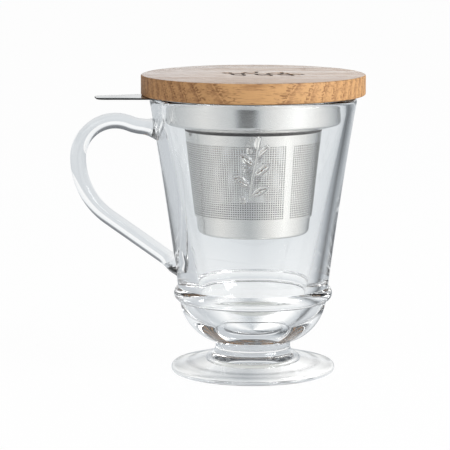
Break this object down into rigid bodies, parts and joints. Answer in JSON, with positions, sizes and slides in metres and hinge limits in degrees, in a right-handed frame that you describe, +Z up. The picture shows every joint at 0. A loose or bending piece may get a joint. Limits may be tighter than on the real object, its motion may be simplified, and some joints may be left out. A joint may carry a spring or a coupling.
{
  "type": "lidded tea mug with infuser",
  "caption": "Footed clear glass tea mug with a side handle, a lift-out perforated steel infuser with a finger tab, and a loose oak lid with a seal.",
  "frame": {"origin": "centre of the ring that the glass foot stands on, on the mug's axis", "axes": "+Z up along the mug's axis, the handle points to -X, the front is -Y"},
  "size_m": [0.129, 0.098, 0.1316],
  "materials": {
    "clear_glass": "clear pressed glass, fire-polished",
    "brushed_steel": "satin, brushed round the axis",
    "perforated_steel": "thin perforated sheet, satin",
    "oak": "oiled oak, turned",
    "silicone": "translucent white silicone, matt"
  },
  "bodies": {
    "mug": {"glass_foot": "clear_glass", "glass_body": "clear_glass", "glass_handle": "clear_glass"},
    "infuser": {"infuser_rim": "brushed_steel", "infuser_collar": "brushed_steel", "infuser_screen": "perforated_steel", "infuser_base": "perforated_steel"},
    "lid": {"lid_disc": "oak", "lid_seal": "silicone"}
  },
  "joints": [
    {"name": "infuser_lift", "type": "slide", "parent": "mug", "child": "infuser", "axis": [0, 0, 1], "range_m": [0, 0.075]},
    {"name": "lid_lift", "type": "slide", "parent": "infuser", "child": "lid", "axis": [0, 0, 1], "range_m": [0, 0.03]}
  ]
}
